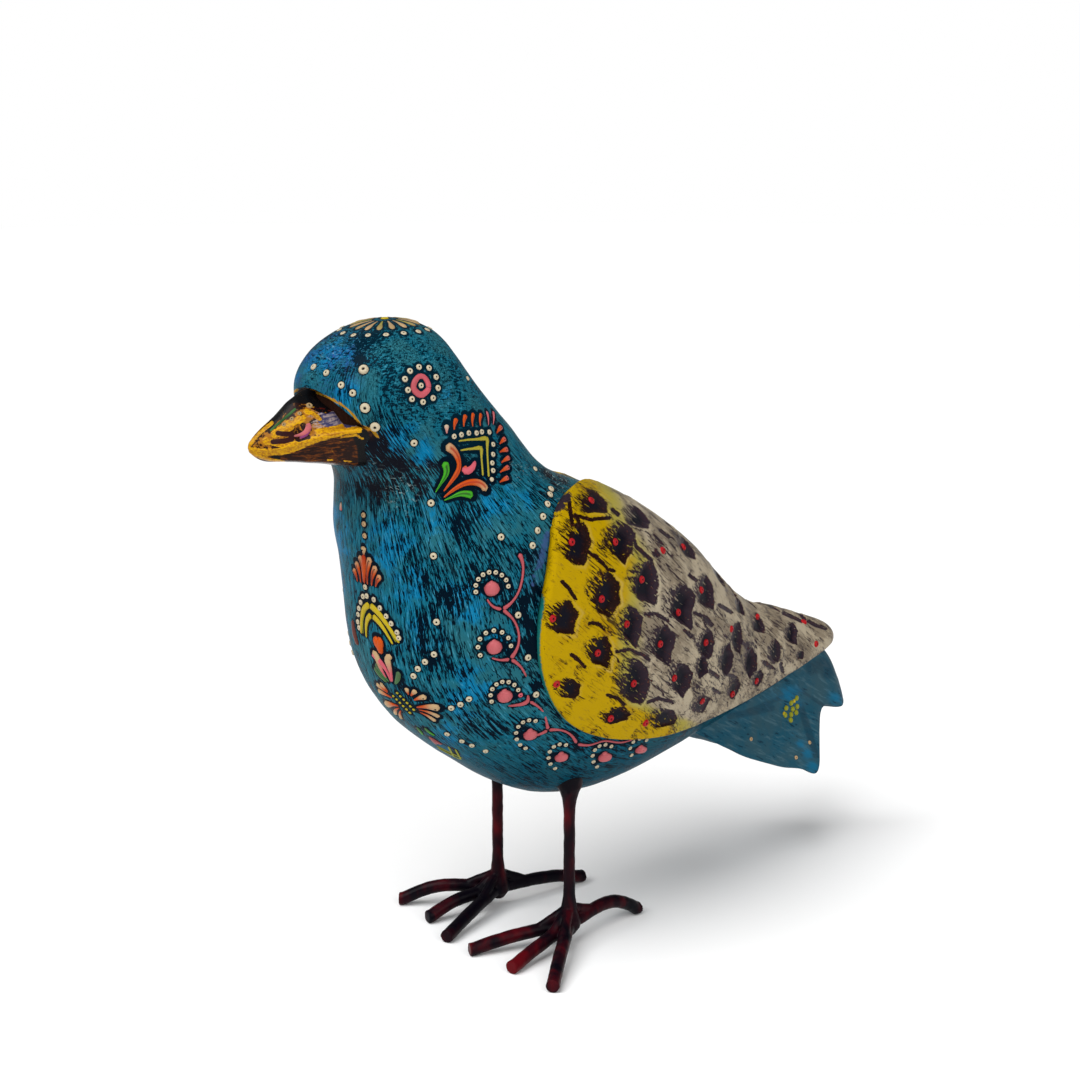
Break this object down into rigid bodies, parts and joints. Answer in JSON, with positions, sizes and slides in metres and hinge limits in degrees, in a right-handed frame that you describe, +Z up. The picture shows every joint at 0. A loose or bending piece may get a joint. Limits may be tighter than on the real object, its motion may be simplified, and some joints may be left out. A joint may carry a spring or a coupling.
{
  "type": "bird figurine",
  "caption": "Carved and painted wooden bird figurine with raised wings and a flared tail, standing on welded iron rod legs.",
  "frame": {"origin": "on the ground, under the middle of the figure's bounding box", "axes": "+Z up, the bird looks along -Y, its left is +X"},
  "size_m": [0.0934, 0.2666, 0.2189],
  "materials": {
    "painted_wood": "hand painted in blue over black with yellow and cream wings, satin glaze",
    "painted_iron": "black enamel with dark red showing through"
  },
  "bodies": {
    "root": {"body": "painted_wood", "left_leg": "painted_iron", "right_leg": "painted_iron"}
  },
  "joints": []
}
